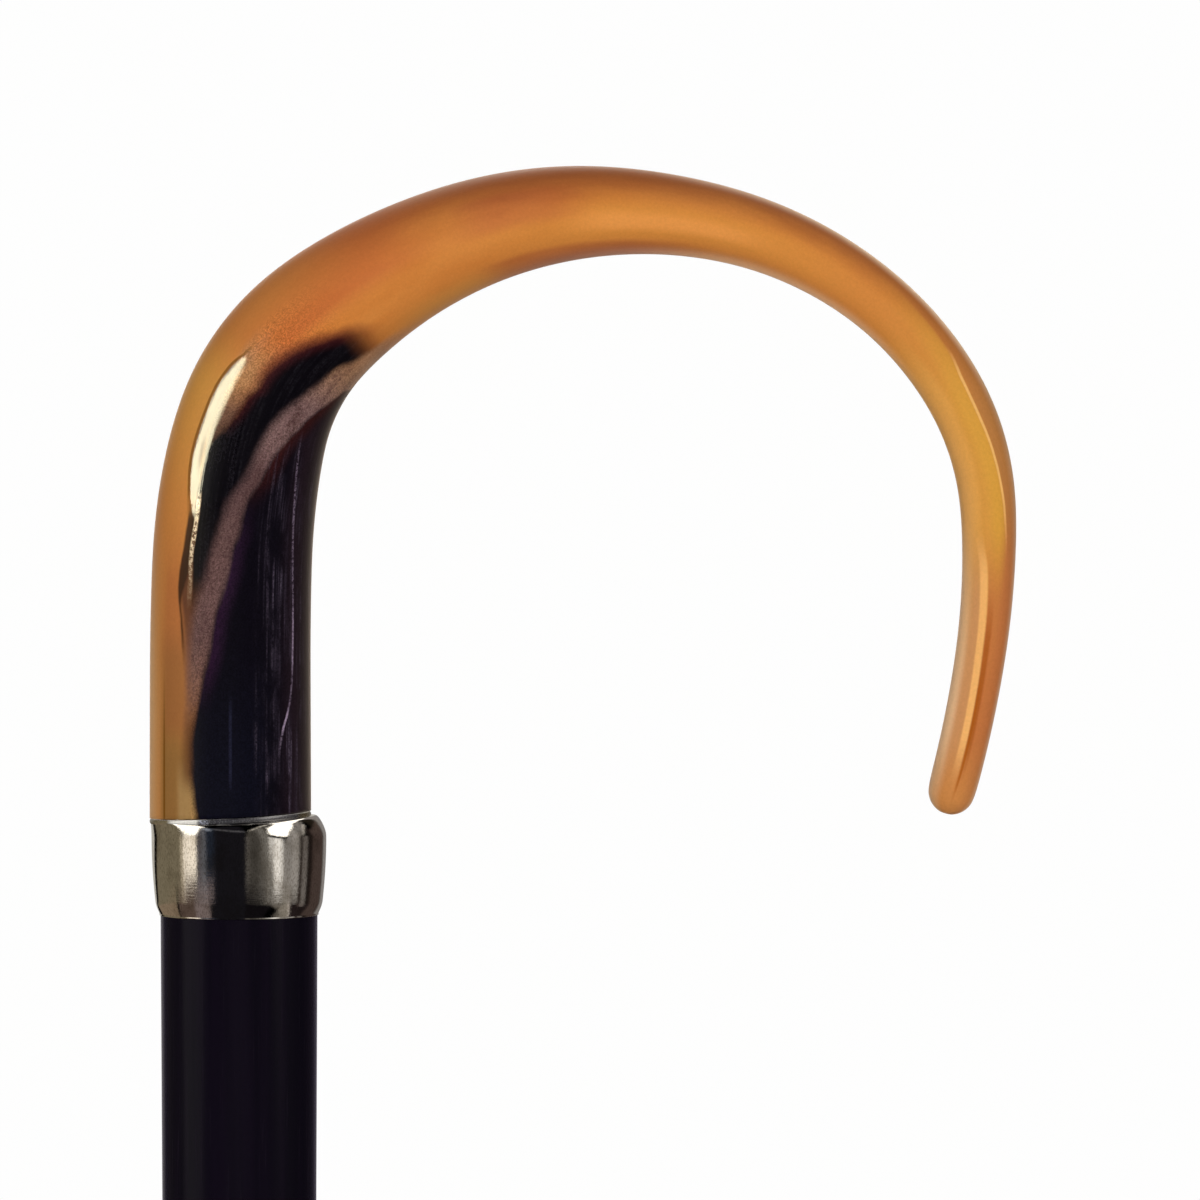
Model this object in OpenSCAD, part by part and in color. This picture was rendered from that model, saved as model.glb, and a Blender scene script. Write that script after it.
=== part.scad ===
// Walking cane: horn crook, silver collar, black hardwood shaft and brass ferrule.
// Millimetres. The foot rests on z = 0, the shaft stands along z, and the crook hooks towards +x.

/* [Crook] */
// How much thicker than the wood the horn is where it meets the collar, on each side
horn_overhang = 0.3; // [0:0.05:0.6]
// How far the horn stands to the left of the shaft's axis
horn_offset = 1.1; // [0:0.1:1.4]
// How far out of square the horn's foot is cut, in degrees
foot_tilt = 1.5; // [0:0.5:3]
// Straight rise of the leg below the first bend
leg_rise = 18; // [10:1:40]
// Radius of the crook's long bends, which sets how wide it opens
crook_r = 62; // [50:1:75]
// Thickness of the crook at its tip
tip_d = 6.1; // [5:0.1:7.5]
// Height of the soft ridge along the end of the crook
ridge_h = 0.16; // [0:0.02:0.3]
// Width of the horn's shoulder around the spigot under its foot
spigot_shoulder = 2.55; // [2.2:0.05:3.5]

/* [Collar] */
// Height of the silver barrel
collar_h = 12.5; // [10:0.5:18]
// How far the silver barrel stands out past the wood at its widest
collar_swell = 1.15; // [0.8:0.05:2]
// Thickness of the sheet silver
collar_wall = 0.4; // [0.3:0.05:0.5]
// Wire diameter of the bead between the horn and the barrel
bead_d = 0.85; // [0.5:0.05:1.2]
// Height of the lip along the barrel's lower edge
lip_h = 0.25; // [0.1:0.05:0.4]
// Length of the shaft's tenon inside the barrel
tenon_len = 8.5; // [6:0.5:9.5]

/* [Shaft] */
// Length of bare wood between the ferrule and the collar
shaft_len = 770.4; // [600:0.1:850]
// Diameter of the wood below the collar
shaft_top_d = 20.1; // [19.5:0.1:20.6]

/* [Stud] */
// Diameter of the steel stud
stud_d = 8; // [6:0.5:9]
// Depth of the stud in the shaft
stud_in_shaft = 35; // [20:1:60]
// Depth of the stud in the horn
stud_in_horn = 34; // [20:1:38]

/* [Ferrule] */
// Diameter of the brass sleeve
ferrule_d = 12.7; // [12:0.1:14]
// Length of the brass sleeve
ferrule_len = 32; // [25:1:45]
// Thickness of the sheet brass
ferrule_wall = 0.6; // [0.4:0.05:0.8]
// How far the rolled bead stands out at the top of the sleeve
ferrule_bead = 0.35; // [0.2:0.05:0.6]
// Diameter of the steel wear plug's head
plug_d = 12; // [11:0.1:12.3]
// Height of the steel wear plug's head
plug_h = 1.6; // [1:0.1:4]
// Length of the wear plug inside the sleeve
plug_spigot = 4; // [3:0.5:8]
// Diameter of the two brads
brad_d = 1.6; // [1:0.1:2]
// Length of the two brads
brad_len = 4.5; // [3:0.25:5]

/* [Fits] */
// Gap between a tenon, stud or spigot and its socket
seat_gap = 0.05; // [0.02:0.01:0.1]
// Room left past the end of the stud in each bore
bore_room = 1; // [0.5:0.5:3]

/* [Hidden] */
horn_foot_d = shaft_top_d + 2 * horn_overhang;
spigot_d = horn_foot_d - 2 * spigot_shoulder;
// Bends of the crook from the leg to the tip: degrees turned, radius as a share of crook_r
crook_bends = [
    [2, 6.6], [11.5, 1.29], [36.5, 0.452], [19.5, 1], [19, 0.87], [15, 1],
    [24, 0.79], [21, 0.694], [29.5, 0.548], [10.5, 1.6], [8, 2.42]
];
// Taper of the crook: share of its length, then its thickness in its plane and across it,
// both as shares of the foot's diameter. The last row is the tip.
crook_shares = [
    [0, 1, 1], [0.13, 0.99, 1], [0.19, 0.976, 0.986], [0.25, 0.928, 0.957],
    [0.31, 0.845, 0.913], [0.38, 0.72, 0.831], [0.46, 0.604, 0.725],
    [0.55, 0.478, 0.599], [0.65, 0.406, 0.493], [0.75, 0.377, 0.42],
    [0.87, 0.319, 0.338]
];
crook_taper = [
    for (row = crook_shares) [row[0], row[1] * horn_foot_d, row[2] * horn_foot_d],
    [1, tip_d, tip_d]
];
// Share of the crook's length where the ridge starts and where it is full
ridge_span = [0.62, 0.8];
horn_sides = 32;
horn_step = 2.6;
// Angles of the rings that round off the tip
tip_angles = [20, 38, 54, 68, 80];

collar_sides = 64;
// How far the barrel's lower edge stands out past the wood
collar_step = 0.15;
// Narrowing of the barrel from its widest ring down to where it curls in
belly_in = 0.45;
// Height of the curl above the lip
curl_h = 1.8;
shoulder_h = 2;
// Thickness of the barrel's top plate
plate_h = 0.9;
// Width of the barrel's top plate, inside the bead's ring
plate_w = 0.75;

stud_chamfer = 0.8;

// Rounding of the sleeve's lower edge, and of its upper one inside the rolled bead
ferrule_edge = 0.4;
ferrule_rim = 0.1;
// The two turned lines: where the lower one starts below the top, width, depth and spacing
line_drop = 5.2;
line_w = 0.4;
line_depth = 0.12;
line_pitch = 0.8;
// Middle of the rolled bead below the top of the sleeve, and half its height
roll_drop = 0.9;
roll_half_h = 0.6;
// Middle of the brads below the top of the sleeve
brad_drop = 2.6;

// Overlap where two bodies of one piece are joined, or a cut runs past a face
lap = 1;

// Heights, from the ground up
ferrule_z = plug_h;
shaft_z = ferrule_z + ferrule_len;
collar_z = shaft_z + shaft_len;
bead_z = collar_z + collar_h;
horn_z = bead_z + bead_d;
tenon_z = collar_z + tenon_len;

collar_d = shaft_top_d + 2 * collar_swell;
collar_foot_d = shaft_top_d + 2 * collar_step;
collar_tenon_d = collar_foot_d - 2 * collar_wall - 2 * seat_gap;
ferrule_bore_d = ferrule_d - 2 * ferrule_wall;
ferrule_tenon_d = ferrule_bore_d - 2 * seat_gap;
bead_ring_d = horn_foot_d - bead_d;
plate_hole_r = bead_ring_d / 2 - plate_w;
plate_z = collar_h - plate_h;
shoulder_z = collar_h - shoulder_h;
barrel_heights = [
    0,
    lip_h,
    for (t = [0.08, 0.25, 0.5, 0.75, 1]) lip_h + curl_h * t,
    for (t = [0.2:0.2:1]) lip_h + curl_h + (shoulder_z - lip_h - curl_h) * t,
    for (a = [15:15:90]) shoulder_z + shoulder_h * sin(a)
];
inner_heights = [for (h = barrel_heights) if (h > lip_h && h < plate_z - 2 * seat_gap) h];
crook_len = leg_rise + bend_start(len(crook_bends))[3];
horn_body_len = crook_len - tip_d / 2;

$fn = 64;

// A place on the crook is [x, z, heading, length so far], and a bend turns it to the right
function turned(place, angle, radius) = [
    place[0] + radius * (sin(place[2]) - sin(place[2] - angle)),
    place[1] + radius * (cos(place[2] - angle) - cos(place[2])),
    place[2] - angle,
    place[3] + radius * angle * PI / 180
];

function bend_r(i) = crook_bends[i][1] * crook_r;

// Where bend number i starts, measured from the top of the straight leg
function bend_start(i) = i == 0
    ? [-horn_offset, horn_z + leg_rise, 90, 0]
    : turned(bend_start(i - 1), crook_bends[i - 1][0], bend_r(i - 1));

bend_starts = [for (i = [0:len(crook_bends) - 1]) bend_start(i)];

// The place at a length along the crook
function crook_at(s) = s <= leg_rise
    ? [-horn_offset, horn_z + s, 90, s]
    : let (
        run = s - leg_rise,
        i = max([for (k = [0:len(crook_bends) - 1]) if (bend_starts[k][3] <= run) k])
    ) turned(bend_starts[i], (run - bend_starts[i][3]) / bend_r(i) * 180 / PI, bend_r(i));

// Slope of a table's column at row i, for a smooth curve through its rows
function slope(table, i, column) = let (
    a = max(i - 1, 0),
    b = min(i + 1, len(table) - 1)
) (table[b][column] - table[a][column]) / (table[b][0] - table[a][0]);

// A table's column read smoothly at u
function smooth_at(table, u, column) = let (
    i = max([for (k = [0:len(table) - 2]) if (table[k][0] <= u) k]),
    gap = table[i + 1][0] - table[i][0],
    t = (u - table[i][0]) / gap
) table[i][column] * (2 * pow(t, 3) - 3 * pow(t, 2) + 1)
    + table[i + 1][column] * (3 * pow(t, 2) - 2 * pow(t, 3))
    + slope(table, i, column) * gap * (pow(t, 3) - 2 * pow(t, 2) + t)
    + slope(table, i + 1, column) * gap * (pow(t, 3) - pow(t, 2));

function eased(u, low, high) = let (
    t = min(max((u - low) / (high - low), 0), 1)
) t * t * (3 - 2 * t);

// One ring of the horn at a length along the crook, shrunk towards the tip
function horn_ring(s, shrink = 1) = let (
    place = crook_at(s),
    u = s / crook_len,
    half_t = smooth_at(crook_taper, u, 1) / 2 * shrink,
    half_w = smooth_at(crook_taper, u, 2) / 2 * shrink,
    ridge = ridge_h * eased(u, ridge_span[0], ridge_span[1]) * shrink,
    lean = s == 0 ? tan(foot_tilt) : 0
) [for (k = [0:horn_sides - 1]) let (
    angle = 360 * k / horn_sides,
    out = half_t * cos(angle),
    on_ridge = k % (horn_sides / 2) == horn_sides / 4 ? ridge : 0
) [
    place[0] - out * sin(place[2]),
    (half_w + on_ridge) * sin(angle),
    place[1] + out * cos(place[2]) - out * lean
]];

// Closes rings of equal size into a solid, with a point or a flat face at each end
module ring_loft(rings) {
    sides = len(rings[0]);
    last = len(rings) - 1;
    points = [for (ring = rings) each ring];
    walls = [for (i = [0:last - 1], k = [0:sides - 1]) let (
        a = i * sides + k,
        b = i * sides + (k + 1) % sides
    ) each [[a, b, a + sides], [b, b + sides, a + sides]]];
    foot = [for (k = [1:sides - 2]) [0, k + 1, k]];
    cap = [for (k = [1:sides - 2]) [last * sides, last * sides + k, last * sides + k + 1]];
    polyhedron(points = points, faces = concat(walls, foot, cap), convexity = 6);
}

// Joins rings round and round into a closed band, the last ring meeting the first
module ring_band(rings) {
    sides = len(rings[0]);
    count = len(rings);
    points = [for (ring = rings) each ring];
    polyhedron(
        points = points,
        faces = [for (i = [0:count - 1], k = [0:sides - 1]) let (
            a = i * sides + k,
            b = i * sides + (k + 1) % sides,
            c = ((i + 1) % count) * sides + k,
            d = ((i + 1) % count) * sides + (k + 1) % sides
        ) each [[a, b, c], [b, d, c]]],
        convexity = 6
    );
}

// The barrel at a height: [height, radius, share of the way to the horn's axis]
function barrel(h) = let (
    foot_r = collar_foot_d / 2,
    waist_r = collar_d / 2 - belly_in,
    curl = (h - lip_h) / curl_h,
    belly = (h - lip_h - curl_h) / (shoulder_z - lip_h - curl_h),
    rise = (h - shoulder_z) / shoulder_h,
    lean = 1 - sqrt(max(1 - rise * rise, 0))
) h <= lip_h ? [h, foot_r, 0]
    : h < lip_h + curl_h ? [h, foot_r + (waist_r - foot_r) * sin(90 * curl), 0]
    : h <= shoulder_z ? [h, collar_d / 2 - belly_in * pow(1 - belly, 2), 0]
    : [h, collar_d / 2 + (horn_foot_d / 2 - collar_d / 2) * lean, lean];

// One ring of the barrel, drawn in by inset and leaning with the horn's foot near its top
function collar_ring(row, inset) = let (
    r = row[1] - inset,
    x = -horn_offset * row[2]
) [for (k = [0:collar_sides - 1]) let (
    angle = 360 * k / collar_sides
) [
    x + r * cos(angle),
    r * sin(angle),
    collar_z + row[0] + row[2] * tan(foot_tilt) * r * cos(angle)
]];

// A ring of the hole in the barrel's top plate
function plate_ring(h) = collar_ring([h, plate_hole_r, barrel(h)[2]], 0);

// The horn crook: round leg, bend, crown and bow down to a rounded tip
module horn_handle() {
    body_rings = round(horn_body_len / horn_step);
    color([0.78, 0.52, 0.26]) difference() {
        union() {
            ring_loft([
                for (i = [0:body_rings]) horn_ring(horn_body_len * i / body_rings),
                for (a = tip_angles) horn_ring(horn_body_len + tip_d / 2 * sin(a), cos(a))
            ]);
            translate([0, 0, tenon_z])
                cylinder(d = spigot_d, h = horn_z - tenon_z + lap);
        }
        translate([0, 0, tenon_z - lap])
            cylinder(d = stud_d + 2 * seat_gap, h = lap + stud_in_horn + bore_room);
    }
}

// The silver wire that hides the joint between the horn and the barrel
module collar_bead() {
    color([0.8, 0.8, 0.82])
        translate([-horn_offset, 0, bead_z + bead_d / 2])
        rotate([0, -foot_tilt, 0])
        rotate_extrude()
        translate([bead_ring_d / 2, 0])
        circle(d = bead_d, $fn = 24);
}

// The spun silver barrel, with a lip at its lower edge and a plate under the bead
module collar_shell() {
    color([0.8, 0.8, 0.82]) ring_band([
        for (h = barrel_heights) collar_ring(barrel(h), 0),
        plate_ring(collar_h),
        plate_ring(plate_z),
        collar_ring(barrel(plate_z), collar_wall),
        for (i = [len(inner_heights) - 1:-1:0]) collar_ring(barrel(inner_heights[i]), collar_wall),
        collar_ring(barrel(0), collar_wall)
    ]);
}

// The cement between the barrel, the tenon and the spigot
module collar_packing() {
    inset = collar_wall + seat_gap;
    color([0.3, 0.24, 0.2]) difference() {
        ring_loft([
            for (h = inner_heights) collar_ring(barrel(h), inset),
            collar_ring(barrel(plate_z - seat_gap), inset)
        ]);
        translate([0, 0, collar_z - lap])
            cylinder(d = collar_tenon_d + 2 * seat_gap, h = lap + tenon_len);
        translate([0, 0, collar_z])
            cylinder(d = spigot_d + 2 * seat_gap, h = collar_h + lap);
    }
}

// The steel stud that joins the horn to the shaft
module joint_stud() {
    r = stud_d / 2;
    stud_len = stud_in_shaft + stud_in_horn;
    color([0.6, 0.6, 0.62])
        translate([0, 0, tenon_z - stud_in_shaft])
        rotate_extrude()
        polygon([
            [0, 0],
            [r - stud_chamfer, 0],
            [r, stud_chamfer],
            [r, stud_len - stud_chamfer],
            [r - stud_chamfer, stud_len],
            [0, stud_len]
        ]);
}

// The tapered shaft with a tenon at each end and the stud's bore
module shaft() {
    lower_tenon_z = ferrule_z + plug_spigot;
    color([0.08, 0.06, 0.09]) difference() {
        union() {
            translate([0, 0, lower_tenon_z])
                cylinder(d = ferrule_tenon_d, h = shaft_z - lower_tenon_z + lap);
            translate([0, 0, shaft_z])
                cylinder(d1 = ferrule_d, d2 = shaft_top_d, h = shaft_len);
            translate([0, 0, collar_z - lap])
                cylinder(d = collar_tenon_d, h = lap + tenon_len);
        }
        translate([0, 0, tenon_z - stud_in_shaft - bore_room])
            cylinder(d = stud_d + 2 * seat_gap, h = stud_in_shaft + bore_room + lap);
        brads(seat_gap / 2);
    }
}

// The brass sleeve, with a rolled bead and a pair of turned lines near its top
module ferrule() {
    r = ferrule_d / 2;
    line_z = ferrule_len - line_drop;
    roll_z = ferrule_len - roll_drop;
    color([0.78, 0.62, 0.3]) difference() {
        translate([0, 0, ferrule_z]) rotate_extrude() polygon([
            [ferrule_bore_d / 2, 0],
            [r - ferrule_edge, 0],
            [r, ferrule_edge],
            for (z = [line_z, line_z + line_pitch]) each [
                [r, z],
                [r - line_depth, z + line_depth],
                [r - line_depth, z + line_w - line_depth],
                [r, z + line_w]
            ],
            for (a = [0:20:180]) [
                r + ferrule_bead * sin(a),
                roll_z - roll_half_h * cos(a)
            ],
            [r - ferrule_rim, ferrule_len],
            [ferrule_bore_d / 2, ferrule_len]
        ]);
        brads(seat_gap / 2);
    }
}

// The steel plug that takes the wear, rounded at its edge and flat underfoot
module ferrule_plug() {
    r = plug_d / 2;
    round_r = plug_h / 2;
    color([0.55, 0.55, 0.57]) rotate_extrude() polygon([
        [0, 0],
        for (a = [0:15:90]) [
            r - round_r + round_r * sin(a),
            round_r - round_r * cos(a)
        ],
        [r, plug_h],
        [ferrule_bore_d / 2 - seat_gap, plug_h],
        [ferrule_bore_d / 2 - seat_gap, plug_h + plug_spigot],
        [0, plug_h + plug_spigot]
    ]);
}

// Two brads driven in from opposite sides, each grown by some clearance
module brads(grow) {
    for (side = [0, 180])
        rotate([0, 0, side])
        translate([0, -ferrule_d / 2 - grow, ferrule_z + ferrule_len - brad_drop])
        rotate([-90, 0, 0])
        cylinder(d = brad_d + 2 * grow, h = brad_len + 2 * grow);
}

// The brads with their heads filed to the curve of the sleeve
module ferrule_pins() {
    color([0.85, 0.7, 0.38]) intersection() {
        brads(0);
        translate([0, 0, ferrule_z]) cylinder(d = ferrule_d, h = ferrule_len);
    }
}

horn_handle();
collar_bead();
collar_shell();
collar_packing();
joint_stud();
shaft();
ferrule();
ferrule_plug();
ferrule_pins();
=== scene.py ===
import math

import bpy
import numpy as np
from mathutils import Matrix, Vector


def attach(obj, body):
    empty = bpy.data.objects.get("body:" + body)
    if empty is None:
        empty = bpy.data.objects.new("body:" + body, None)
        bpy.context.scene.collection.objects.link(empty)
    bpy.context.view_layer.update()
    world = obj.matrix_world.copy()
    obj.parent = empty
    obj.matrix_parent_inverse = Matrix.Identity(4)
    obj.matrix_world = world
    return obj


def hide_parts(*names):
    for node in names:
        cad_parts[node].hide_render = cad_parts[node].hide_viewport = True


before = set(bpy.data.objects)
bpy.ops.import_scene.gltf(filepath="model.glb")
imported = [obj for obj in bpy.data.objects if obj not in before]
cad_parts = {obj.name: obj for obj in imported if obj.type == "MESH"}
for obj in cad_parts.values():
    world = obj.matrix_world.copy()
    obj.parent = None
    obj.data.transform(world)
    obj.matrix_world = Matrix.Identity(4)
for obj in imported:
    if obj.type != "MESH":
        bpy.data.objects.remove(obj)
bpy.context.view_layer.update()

mm = 0.001
print("frame loaded:", len(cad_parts), "nodes")


# An output socket that can be used in sums
class Wire:
    def __init__(self, finish, socket):
        self.finish = finish
        self.socket = socket

    def maths(self, operation, *others, swap=False):
        node = self.finish.tree.nodes.new("ShaderNodeMath")
        node.operation = operation
        values = [*others, self] if swap else [self, *others]
        for slot, value in zip(node.inputs, values):
            self.finish.plug(slot, value)
        return Wire(self.finish, node.outputs[0])

    def __add__(self, other): return self.maths("ADD", other)
    def __radd__(self, other): return self.maths("ADD", other, swap=True)
    def __sub__(self, other): return self.maths("SUBTRACT", other)
    def __rsub__(self, other): return self.maths("SUBTRACT", other, swap=True)
    def __mul__(self, other): return self.maths("MULTIPLY", other)
    def __rmul__(self, other): return self.maths("MULTIPLY", other, swap=True)
    def __truediv__(self, other): return self.maths("DIVIDE", other)
    def __abs__(self): return self.maths("ABSOLUTE")

    # 0 below low, 1 above high, eased between
    def rise(self, low, high):
        return self.finish.node("MapRange", {"interpolation_type": "SMOOTHSTEP"},
                                {"Value": self, "From Min": low, "From Max": high})

    def fall(self, low, high):
        return 1 - self.rise(low, high)


class Finish:
    def __init__(self, name, owner=None):
        self.owner = owner or bpy.data.materials.new(name)
        self.owner.use_nodes = True
        self.tree = self.owner.node_tree
        self.tree.nodes.clear()

    def plug(self, slot, value):
        if isinstance(value, Wire):
            self.tree.links.new(value.socket, slot)
        elif isinstance(value, tuple) and len(value) == 3 and slot.type == "RGBA":
            slot.default_value = (*value, 1)
        else:
            slot.default_value = value

    def node(self, kind, settings=None, inputs=None, out=0):
        made = self.tree.nodes.new("ShaderNode" + kind)
        for key, value in (settings or {}).items():
            if key == "curve":
                line = made.mapping.curves[0]
                for point, place in zip(line.points, (value[0], value[-1])):
                    point.location = place[:2]
                for place in value[1:-1]:
                    line.points.new(*place[:2])
                for point in line.points:
                    point.handle_type = "VECTOR" if value[0][2] else "AUTO"
                made.mapping.update()
            else:
                setattr(made, key, value)
        for key, value in (inputs or {}).items():
            self.plug(made.inputs[key], value)
        return Wire(self, made.outputs[out])

    def blend(self, low, high, factor):
        return self.node("Mix", {"data_type": "RGBA"}, {0: factor, 6: low, 7: high}, out=2)

    # Multiplies a colour by another, by a factor
    def deepen(self, hue, by, share):
        return self.node("Mix", {"data_type": "RGBA", "blend_type": "MULTIPLY"}, {0: share, 6: hue, 7: by}, out=2)

    def noise(self, vector, scale, detail=3, rough=0.5):
        return self.node("TexNoise", None, {"Vector": vector, "Scale": scale, "Detail": detail,
                                            "Roughness": rough})

    # Degrees by place along a line of length span, drawn through (place, degrees)
    def curve(self, along, span, points, straight=False):
        drawn = [(place / span, degrees / 360, straight) for place, degrees in points]
        return self.node("FloatCurve", {"curve": drawn}, {"Value": along / span}) * 360

    def split(self, vector):
        parts = self.tree.nodes.new("ShaderNodeSeparateXYZ")
        self.plug(parts.inputs[0], vector)
        return [Wire(self, socket) for socket in parts.outputs]

    def stretched(self, vector, amounts):
        return self.node("Mapping", None, {"Vector": vector, "Scale": amounts})

    def objectPlace(self):
        return self.node("TexCoord", out=3)

    def finishAs(self, shader, output="OutputMaterial"):
        out = self.tree.nodes.new("ShaderNode" + output)
        self.tree.links.new(shader.socket, out.inputs["Surface"])
        return self.owner

    def surface(self, inputs):
        return self.finishAs(self.node("BsdfPrincipled", None, inputs))


def rgb(r, g, b):
    return tuple(((c / 255 + 0.055) / 1.055) ** 2.4 if c > 10 else c / 255 / 12.92 for c in (r, g, b))


def startFresh():
    if bpy.context.object and bpy.context.object.mode != "OBJECT":
        bpy.ops.object.mode_set(mode="OBJECT")
    bpy.ops.object.select_all(action="DESELECT")


def pick(piece):
    startFresh()
    piece.select_set(True)
    bpy.context.view_layer.objects.active = piece


# With no window the rotate operator turns the other way
def turnSelected(centre, angle, axis="Y"):
    if angle:
        bpy.ops.transform.rotate(value=-angle, orient_axis=axis, center_override=centre)


# Pulls a circle from ring to ring into a tube. A ring is
# (centre, thickness in the crook's plane, thickness across it, lean about y)
def pullRings(name, rings, sides):
    startFresh()
    bpy.ops.mesh.primitive_circle_add(vertices=sides, radius=0.5 * mm, location=rings[0][0])
    piece = bpy.context.object
    piece.name = name
    bpy.ops.object.transform_apply(location=True, rotation=False, scale=False)
    bpy.ops.object.mode_set(mode="EDIT")
    bpy.ops.mesh.select_all(action="SELECT")
    before = (rings[0][0], 1, 1, 0)
    for number, ring in enumerate(rings):
        centre, inPlane, across, lean = ring
        if number:
            step = Vector(centre) - Vector(before[0])
            bpy.ops.mesh.extrude_region_move(TRANSFORM_OT_translate={"value": step})
            turnSelected(centre, -before[3])
        bpy.ops.transform.resize(value=(inPlane / before[1], across / before[2], 1), center_override=centre)
        turnSelected(centre, lean)
        before = ring
    bpy.ops.object.mode_set(mode="OBJECT")
    return piece


# Closes a tube: each end with a face, or the last ring joined to the first
def closeTube(piece, band=False):
    pick(piece)
    bpy.ops.object.mode_set(mode="EDIT")
    bpy.ops.mesh.select_all(action="DESELECT")
    bpy.ops.mesh.select_non_manifold()
    if band:
        bpy.ops.mesh.bridge_edge_loops()
    else:
        bpy.ops.mesh.edge_face_add()
    bpy.ops.mesh.select_all(action="SELECT")
    bpy.ops.mesh.normals_make_consistent(inside=False)
    bpy.ops.object.mode_set(mode="OBJECT")


def smoothOver(piece, levels):
    pick(piece)
    soft = piece.modifiers.new("soft", "SUBSURF")
    soft.levels = soft.render_levels = levels
    bpy.ops.object.modifier_apply(modifier=soft.name)
    bpy.ops.object.shade_smooth()


def easeEdges(piece, width, degrees=30):
    pick(piece)
    eased = piece.modifiers.new("eased edges", "BEVEL")
    eased.limit_method = "ANGLE"
    eased.angle_limit = math.radians(degrees)
    eased.width = width * mm
    eased.segments = 2
    bpy.ops.object.modifier_apply(modifier=eased.name)
    bpy.ops.object.shade_smooth_by_angle(angle=math.radians(degrees))


def upright(profile):
    return [((0, 0, z * mm), d, d, 0) for z, d in profile]


def dress(piece, finish, node):
    piece.data.materials.clear()
    piece.data.materials.append(finish)
    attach(piece, "root")
    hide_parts(node)


# The horn crook. Bends are (degrees, radius as a share of bendR), shares are (share of the
# length, thickness in its plane, thickness across it), lines are (mm from the foot, degrees)
horn = {
    "offset": 1.1, "footZ": 817.35, "legRise": 18, "footD": 20.7, "tipD": 6.1, "tilt": 2.6, "drop": 0.2,
    "spigotD": 15.6, "spigotZ": 812.5, "bendR": 62,
    "bends": [(2, 6.6), (11.5, 1.29), (36.5, 0.452), (19.5, 1), (19, 0.87), (15, 1),
              (24, 0.79), (21, 0.694), (29.5, 0.548), (10.5, 1.6), (8, 2.42)],
    "shares": [(0, 1, 1), (0.13, 0.99, 1), (0.19, 0.976, 0.986), (0.25, 0.928, 0.957),
               (0.31, 0.845, 0.913), (0.38, 0.72, 0.831), (0.46, 0.604, 0.725),
               (0.55, 0.478, 0.599), (0.65, 0.406, 0.493), (0.75, 0.377, 0.42),
               (0.87, 0.319, 0.338), (1, 0.2947, 0.2947)],
    "bendLine": [(0, 64), (154, 64), (158, 72), (162, 74), (166, 71), (170, 67), (176, 60), (180, 56), (220, 50)],
    "tipLine": [(0, 112), (176, 108), (179, 104), (182, 97), (187, 93), (196, 91), (206, 89), (212, 92), (220, 96)],
    "ridge": 0.1, "ridgeWidth": 16, "sides": 16, "step": 4,
}
roundLoss = 2 / 3 + math.cos(2 * math.pi / horn["sides"]) / 3   # what subdivision takes off a ring


def turned(place, degrees, radius):
    x, z, heading, run = place
    a, b = math.radians(heading), math.radians(heading - degrees)
    return (x + radius * (math.sin(a) - math.sin(b)), z + radius * (math.cos(b) - math.cos(a)),
            heading - degrees, run + radius * math.radians(degrees))


bendStarts = [(-horn["offset"], horn["footZ"] + horn["legRise"], 90, 0)]
for degrees, share in horn["bends"]:
    bendStarts.append(turned(bendStarts[-1], degrees, share * horn["bendR"]))
crookLength = horn["legRise"] + bendStarts[-1][3]


def crookAt(s):
    if s <= horn["legRise"]:
        return -horn["offset"], horn["footZ"] + s, 90, s
    run = s - horn["legRise"]
    i = max(k for k in range(len(horn["bends"])) if bendStarts[k][3] <= run)
    radius = horn["bends"][i][1] * horn["bendR"]
    return turned(bendStarts[i], math.degrees((run - bendStarts[i][3]) / radius), radius)


def thicknessAt(u, column):
    rows = horn["shares"]
    i = max(k for k in range(len(rows) - 1) if rows[k][0] <= u)

    def slope(k):
        a, b = rows[max(k - 1, 0)], rows[min(k + 1, len(rows) - 1)]
        return (b[column] - a[column]) / (b[0] - a[0])
    gap = rows[i + 1][0] - rows[i][0]
    t = (u - rows[i][0]) / gap
    return horn["footD"] * (rows[i][column] * (2 * t ** 3 - 3 * t ** 2 + 1)
                            + rows[i + 1][column] * (3 * t ** 2 - 2 * t ** 3)
                            + slope(i) * gap * (t ** 3 - 2 * t ** 2 + t)
                            + slope(i + 1) * gap * (t ** 3 - t ** 2))


def crookRing(s, shrink=1, lean=0):
    x, z, heading, run = crookAt(s)
    u = min(max(s / crookLength, 0), 1)
    grow = shrink / roundLoss
    return ((x * mm, 0, z * mm), thicknessAt(u, 1) * grow, thicknessAt(u, 2) * grow,
            math.radians(90 - heading - lean))


def spigotRing(z, lean=0):
    return (0, 0, z * mm), horn["spigotD"] / roundLoss, horn["spigotD"] / roundLoss, -math.radians(lean)


seatZ = horn["footZ"] - horn["drop"] + horn["offset"] * math.tan(math.radians(horn["tilt"]))
bodyLength = crookLength - horn["tipD"] / 2
count = round(bodyLength / horn["step"])
crookRings = [spigotRing(horn["spigotZ"]), spigotRing(seatZ, horn["tilt"]), crookRing(-horn["drop"], lean=horn["tilt"])]
sharpRings = len(crookRings)
crookRings += [crookRing(bodyLength * i / count) for i in range(1, count + 1)]
crookRings += [crookRing(bodyLength + horn["tipD"] / 2 * math.sin(math.radians(a)), math.cos(math.radians(a)))
               for a in (25, 48, 66, 80)]
crook = pullRings("horn_crook", crookRings, horn["sides"])
closeTube(crook)
creases = crook.data.attributes.new("crease_edge", "FLOAT", "EDGE")
for edge in crook.data.edges:
    a, b = (v // horn["sides"] for v in edge.vertices)
    if a == b < sharpRings:
        creases.data[edge.index].value = 1
smoothOver(crook, 3)


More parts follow.
